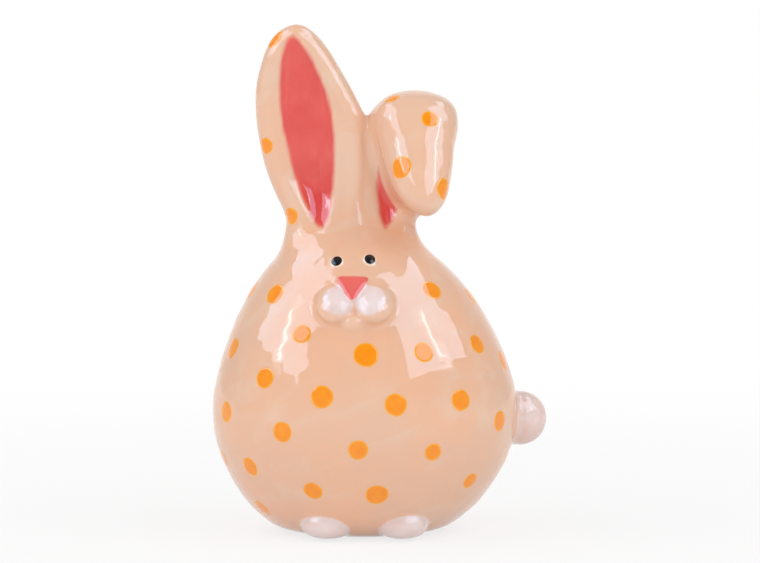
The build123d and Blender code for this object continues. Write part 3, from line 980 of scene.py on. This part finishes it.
def glaze_material():
    """Clear glaze over painted clay, which is bare where the glaze was wiped off."""
    mat = material("painted_glaze")
    n = Nodes(mat.node_tree)
    place = n.add("ShaderNodeTexCoord").outputs["Object"]
    soft = n.wobble(place, 500.0, 0.5)
    body, thick = with_dots(n, place, peach_ground(n, place))
    body = with_white_and_face(n, place, soft, with_pink(n, place, body))
    bare = n.inside(n.math("ADD", n.value("bare"), soft), -0.15, 0.15)
    body = n.mix(bare, body, n.mottled(n.noise(place, 900.0, 3.0), 0.35, 0.65, CLAY))

    dot_relief = n.math("MULTIPLY", thick, DOT_RELIEF)
    relief = n.math("ADD", dot_relief, n.math("MULTIPLY", n.noise(place, 240.0), GLAZE_RELIEF))
    bump = {"Height": relief, "Strength": RELIEF_STRENGTH, "Distance": RELIEF_DEPTH}
    swell = n.add("ShaderNodeBump", bump).outputs["Normal"]
    sheen = n.ramp(n.noise(place, 90.0), 0.3, 0.7, *GLAZE_ROUGHNESS)
    rough = n.math("ADD", sheen, n.math("MULTIPLY", bare, CLAY_ROUGHNESS))
    inputs = {"Base Color": body, "Roughness": rough, "IOR": GLAZE_IOR, "Normal": swell}
    shader = n.add("ShaderNodeBsdfPrincipled", inputs).outputs["BSDF"]
    n.set(n.add("ShaderNodeOutputMaterial").inputs["Surface"], shader)
    return mat


def make_piece(name, mat, dots):
    """One piece's mesh with its paint values, riding on the figure in place of its CAD node."""
    names, step, slot = PIECES[name]
    field = lining_piece(LININGS[name], names) if name in LININGS else form_piece(name, names)
    low, high = (np.array(corner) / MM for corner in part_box(name))
    points, quads, normals = polygonised(field, low - PIECE_REACH, high + PIECE_REACH, step)
    mesh = bpy.data.meshes.new(name + "_glazed")
    mesh.from_pydata(points * MM, [], quads.tolist())
    mesh.shade_smooth()
    mesh.normals_split_custom_set_from_vertices(normals)
    for key, values in paint(points, dots).items():
        mesh.attributes.new(key, "FLOAT", "POINT").data.foreach_set("value", values.astype(np.float32))
    mesh.materials.append(mat)
    piece = bpy.data.objects.new(name + "_glazed", mesh)
    bpy.context.collection.objects.link(piece)
    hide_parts(name)
    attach(piece, "root")


def aim(thing, target):
    way = np.array(target) - np.array(thing.location)
    flat = math.hypot(way[0], way[1])
    thing.rotation_euler = (math.pi / 2 + math.atan2(way[2], flat), 0, math.atan2(-way[0], way[1]))


def add_camera():
    """The photograph's camera: a long lens a little above the middle of the figure."""
    eye, target = camera_places()
    camera = bpy.data.objects.new("camera", bpy.data.cameras.new("camera"))
    camera.data.lens = camera.data.sensor_width * CAMERA_DISTANCE / (FRAME_WIDTH_PX * MM_PER_PX * MM)
    camera.data.clip_start = 0.01
    camera.location = eye
    bpy.context.collection.objects.link(camera)
    aim(camera, target)
    bpy.context.scene.camera = camera


def add_light(name, azimuth, distance, height, target, size, power):
    """A lamp that looks at the figure's axis. Its azimuth counts from the front towards the figure's left."""
    lamp = bpy.data.lights.new(name, "AREA")
    lamp.shape = "RECTANGLE"
    lamp.size, lamp.size_y = size
    lamp.energy = power
    turn = math.radians(azimuth)
    light = bpy.data.objects.new(name, lamp)
    light.location = (distance * math.sin(turn), -distance * math.cos(turn), height)
    aim(light, (0, 0, target))
    bpy.context.collection.objects.link(light)
    return light


def add_panel(name, azimuth, low, high, width):
    """An upright bright face that only the glaze's reflections show."""
    middle = (low + high) / 2
    power = PANEL_POWER_PER_AREA * width * (high - low)
    panel = add_light(name, azimuth, PANEL_DISTANCE, middle, middle, (width, high - low), power)
    panel.data.color = PANEL_COLOUR
    panel.visible_diffuse = False


def add_lamps():
    """Two softboxes and three weaker lamps for soft light, and bright faces for the glaze to mirror."""
    for name, settings in FILL_LAMPS.items():
        add_light(name, *settings).visible_glossy = False
    for side, (azimuth, height) in SOFTBOXES.items():
        place = (azimuth, SOFTBOX_DISTANCE, SOFTBOX_HEIGHT)
        softbox = add_light(f"softbox_{side}", *place, FIGURE_MIDDLE, SOFTBOX_SIZE, SOFTBOX_POWER)
        softbox.visible_glossy = False
        for name, (distance, size, power) in BRIGHT_MIDDLES.items():
            turn = azimuth + BRIGHT_MIDDLE_TURN
            add_light(f"{name}_{side}", turn, distance, height, height, size, power)
    for name, settings in PANELS.items():
        add_panel(name, *settings)


def add_table():
    """A white table, which shades off to plain white away from the figure."""
    bpy.ops.mesh.primitive_plane_add(size=TABLE_SIZE)
    floor = bpy.context.object
    floor.name = "table_top"
    mat = material("white_table")
    n = Nodes(mat.node_tree)
    lit = n.add("ShaderNodeBsdfDiffuse", {"Color": TABLE_COLOUR}).outputs["BSDF"]
    white = n.add("ShaderNodeEmission", {"Color": FULL_WHITE, "Strength": 1.0}).outputs["Emission"]
    place = n.add("ShaderNodeTexCoord").outputs["Object"]
    away = n.add("ShaderNodeVectorMath", {0: place}, operation="LENGTH").outputs["Value"]
    fade = n.ramp(away, *TABLE_FADE_REACH, *TABLE_FADE_SHARE)
    seen = n.math("MULTIPLY", n.shown(n.mirrored()), fade)
    both = n.add("ShaderNodeMixShader", {0: seen, 1: lit, 2: white}).outputs["Shader"]
    n.set(n.add("ShaderNodeOutputMaterial").inputs["Surface"], both)
    floor.data.materials.append(mat)


def add_room():
    """A white surround for the camera, and a dim room in front for the glaze to mirror."""
    world = bpy.data.worlds.new("studio")
    world.use_nodes = True
    world.node_tree.nodes.clear()
    bpy.context.scene.world = world
    n = Nodes(world.node_tree)
    place = n.add("ShaderNodeTexCoord").outputs["Generated"]
    way = n.add("ShaderNodeSeparateXYZ", {0: place}).outputs
    front = n.mix(n.ramp(way["Z"], 0.0, 0.6), ROOM_LOW, ROOM_HIGH)
    room = n.mix(n.ramp(way["Y"], -0.5, 0.6), front, ROOM_BEHIND)
    behind = n.math("MULTIPLY", n.mirrored(), n.ramp(way["Y"], 0.6, 0.98))
    light = n.mix(n.shown(behind), room, FULL_WHITE)
    sky = n.add("ShaderNodeBackground", {"Color": light, "Strength": 1.0}).outputs["Background"]
    n.set(n.add("ShaderNodeOutputWorld").inputs["Surface"], sky)


def main():
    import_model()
    glaze = glaze_material()
    dots = dot_middles()
    for name in PIECES:
        make_piece(name, glaze, dots)
    add_camera()
    add_table()
    add_room()
    add_lamps()
    bpy.context.scene.view_settings.view_transform = "Standard"


main()
